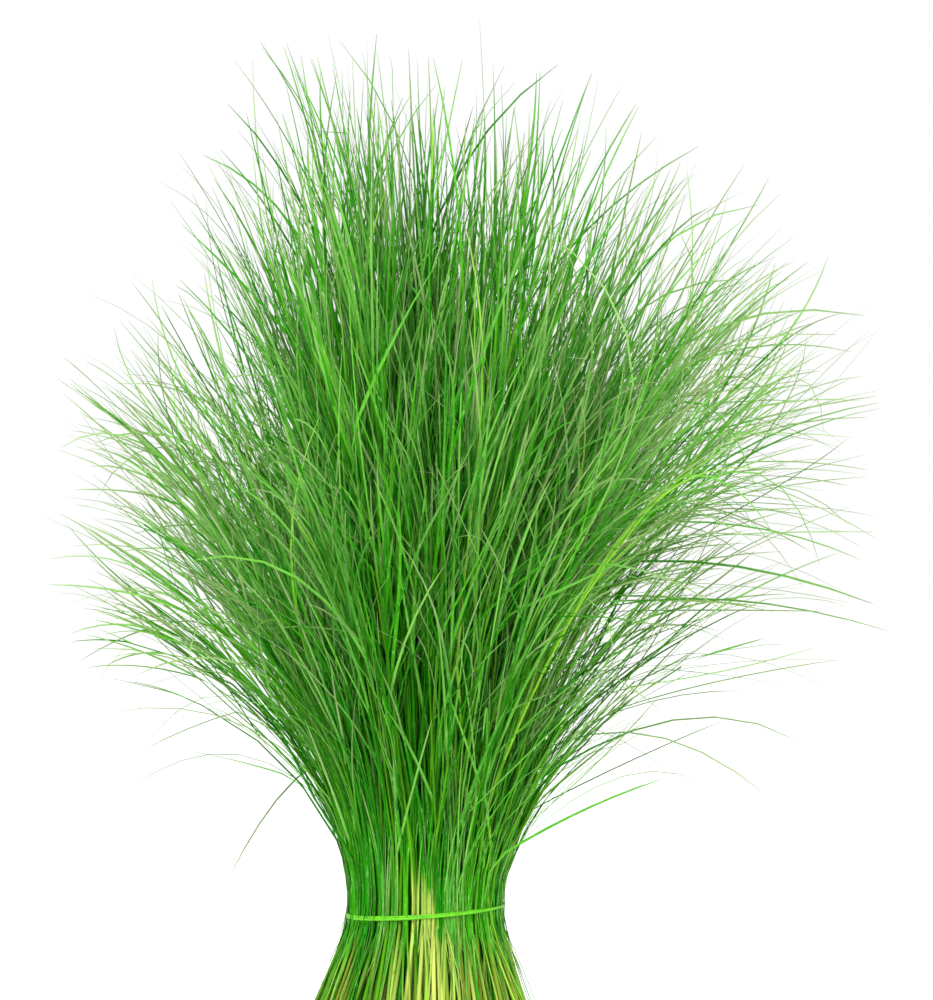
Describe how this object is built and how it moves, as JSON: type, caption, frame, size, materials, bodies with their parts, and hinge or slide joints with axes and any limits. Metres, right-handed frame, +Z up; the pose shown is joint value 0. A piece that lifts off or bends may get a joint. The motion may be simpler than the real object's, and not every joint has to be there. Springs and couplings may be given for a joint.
{
  "type": "tied bunch of durva grass",
  "caption": "Bunch of fresh green durva grass, tied near its cut ends with a thin rubber band; it stands on the cut ends and fans out above the band into long fine leaf blades.",
  "frame": {"origin": "middle of the cut stem ends, on the surface that the bunch stands on", "axes": "+Z up along the bunch towards the leaf tips; seen from the front, from -Y, +X is to the right"},
  "size_m": [0.2378, 0.2167, 0.298],
  "materials": {
    "mid_green": "satin",
    "deep_green": "satin",
    "fresh_green": "satin",
    "band_green": "satin"
  },
  "bodies": {
    "root": {"durva_sprig_01": "deep_green", "durva_sprig_02": "fresh_green", "durva_sprig_03": "mid_green", "durva_sprig_04": "deep_green", "durva_sprig_05": "fresh_green", "durva_sprig_06": "mid_green", "durva_sprig_07": "deep_green", "durva_sprig_08": "fresh_green", "durva_sprig_09": "mid_green", "durva_sprig_10": "deep_green", "durva_sprig_11": "fresh_green", "durva_sprig_12": "mid_green", "durva_sprig_13": "deep_green", "durva_sprig_14": "fresh_green", "durva_sprig_15": "mid_green", "durva_sprig_16": "deep_green", "durva_sprig_17": "fresh_green", "durva_sprig_18": "mid_green", "durva_sprig_19": "deep_green", "durva_sprig_20": "fresh_green", "durva_sprig_21": "mid_green", "durva_sprig_22": "deep_green", "durva_sprig_23": "fresh_green", "durva_sprig_24": "mid_green", "durva_sprig_25": "deep_green", "durva_sprig_26": "fresh_green", "durva_sprig_27": "mid_green", "durva_sprig_28": "deep_green", "durva_sprig_29": "fresh_green", "durva_sprig_30": "mid_green", "durva_sprig_31": "deep_green", "durva_sprig_32": "fresh_green", "durva_sprig_33": "mid_green", "durva_sprig_34": "deep_green", "durva_sprig_35": "fresh_green", "durva_sprig_36": "mid_green", "durva_sprig_37": "deep_green", "durva_sprig_38": "fresh_green", "durva_sprig_39": "mid_green", "durva_sprig_40": "deep_green", "durva_sprig_41": "fresh_green", "durva_sprig_42": "mid_green", "durva_sprig_43": "deep_green", "durva_sprig_44": "fresh_green", "durva_sprig_45": "mid_green", "durva_sprig_46": "deep_green", "durva_sprig_47": "fresh_green", "durva_sprig_48": "mid_green", "durva_sprig_49": "deep_green", "durva_sprig_50": "fresh_green", "durva_sprig_51": "mid_green", "durva_sprig_52": "deep_green", "durva_sprig_53": "fresh_green", "durva_sprig_54": "mid_green", "durva_sprig_55": "deep_green", "durva_sprig_56": "fresh_green", "durva_sprig_57": "mid_green", "durva_sprig_58": "deep_green", "tie_band": "band_green"}
  },
  "joints": []
}
